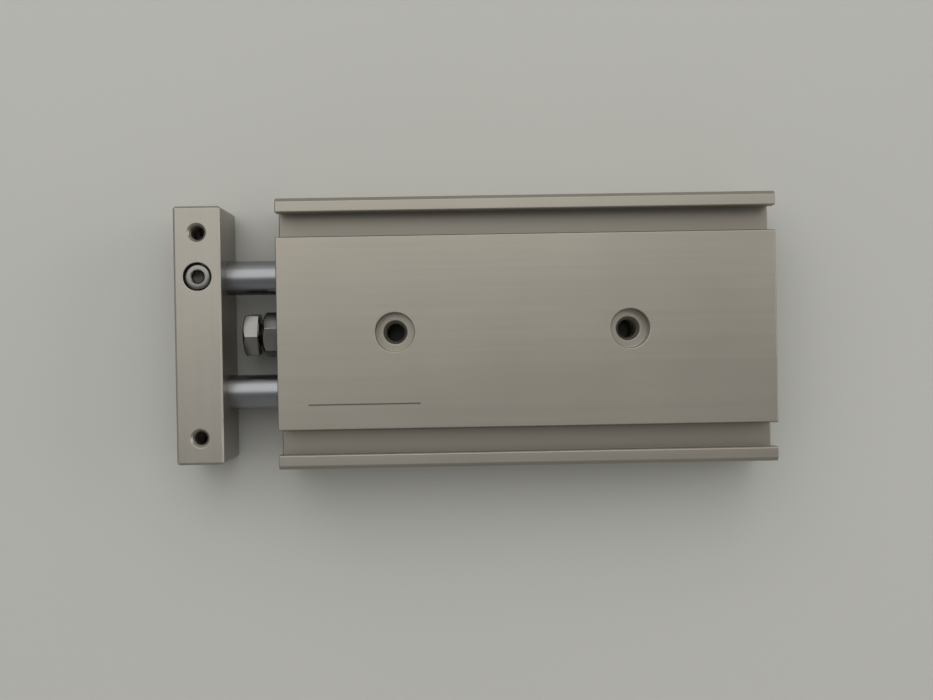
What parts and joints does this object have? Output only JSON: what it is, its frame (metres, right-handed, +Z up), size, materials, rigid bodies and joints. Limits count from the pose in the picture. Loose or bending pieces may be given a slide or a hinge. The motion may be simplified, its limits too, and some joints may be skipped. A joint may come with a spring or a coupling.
{
  "type": "twin rod pneumatic cylinder",
  "caption": "Flat twin rod pneumatic cylinder: an extruded housing guides parallel rods joined by an end plate, with sensor slots, side ports and an adjustable stop bolt.",
  "frame": {"origin": "on the base face of the housing, midway between its two mounting holes", "axes": "+X along the rods towards the rear end, so the rods extend towards -X; +Z up, out of the slotted top face"},
  "size_m": [0.1024, 0.046, 0.017],
  "materials": {
    "anodised_housing": "satin clear anodised",
    "machined_aluminium": "turned",
    "chromed_rod": "hard chromed, ground and polished",
    "bearing_bronze": "sintered",
    "spring_steel": "phosphated, oiled",
    "plated_steel": "zinc plated",
    "black_rubber": "moulded nitrile rubber",
    "bumper_urethane": "moulded urethane",
    "ring_magnet": "sintered"
  },
  "bodies": {
    "cylinder": {"housing": "anodised_housing", "rod_cover_a": "machined_aluminium", "rod_cover_b": "machined_aluminium", "rear_cover_a": "machined_aluminium", "rear_cover_b": "machined_aluminium", "rod_bush_a": "bearing_bronze", "rod_bush_b": "bearing_bronze", "front_retaining_ring_a": "spring_steel", "front_retaining_ring_b": "spring_steel", "rear_retaining_ring_a": "spring_steel", "rear_retaining_ring_b": "spring_steel", "stop_lock_nut": "plated_steel", "port_plugs": "plated_steel", "rod_seal_a": "black_rubber", "rod_seal_b": "black_rubber", "front_o_ring_a": "black_rubber", "front_o_ring_b": "black_rubber", "rear_o_ring_a": "black_rubber", "rear_o_ring_b": "black_rubber", "rear_bumper_a": "bumper_urethane", "rear_bumper_b": "bumper_urethane"},
    "carriage": {"end_plate": "anodised_housing", "plate_clamp_screws": "plated_steel", "piston_screws": "plated_steel", "rod_a": "chromed_rod", "rod_b": "chromed_rod", "piston_a": "machined_aluminium", "piston_b": "machined_aluminium", "piston_seal_a": "black_rubber", "piston_seal_b": "black_rubber", "magnet_a": "ring_magnet", "magnet_b": "ring_magnet", "magnet_keeper_a": "machined_aluminium", "magnet_keeper_b": "machined_aluminium", "front_bumper_a": "bumper_urethane", "front_bumper_b": "bumper_urethane"},
    "stop_screw": {"stop_bolt": "plated_steel"}
  },
  "joints": [
    {"name": "rod_slide", "type": "slide", "parent": "cylinder", "child": "carriage", "axis": [-1, 0, 0], "range_m": [0, 0.03]},
    {"name": "stop_bolt_adjust", "type": "slide", "parent": "cylinder", "child": "stop_screw", "axis": [-1, 0, 0], "range_m": [-0.0005, 0.0026]}
  ]
}
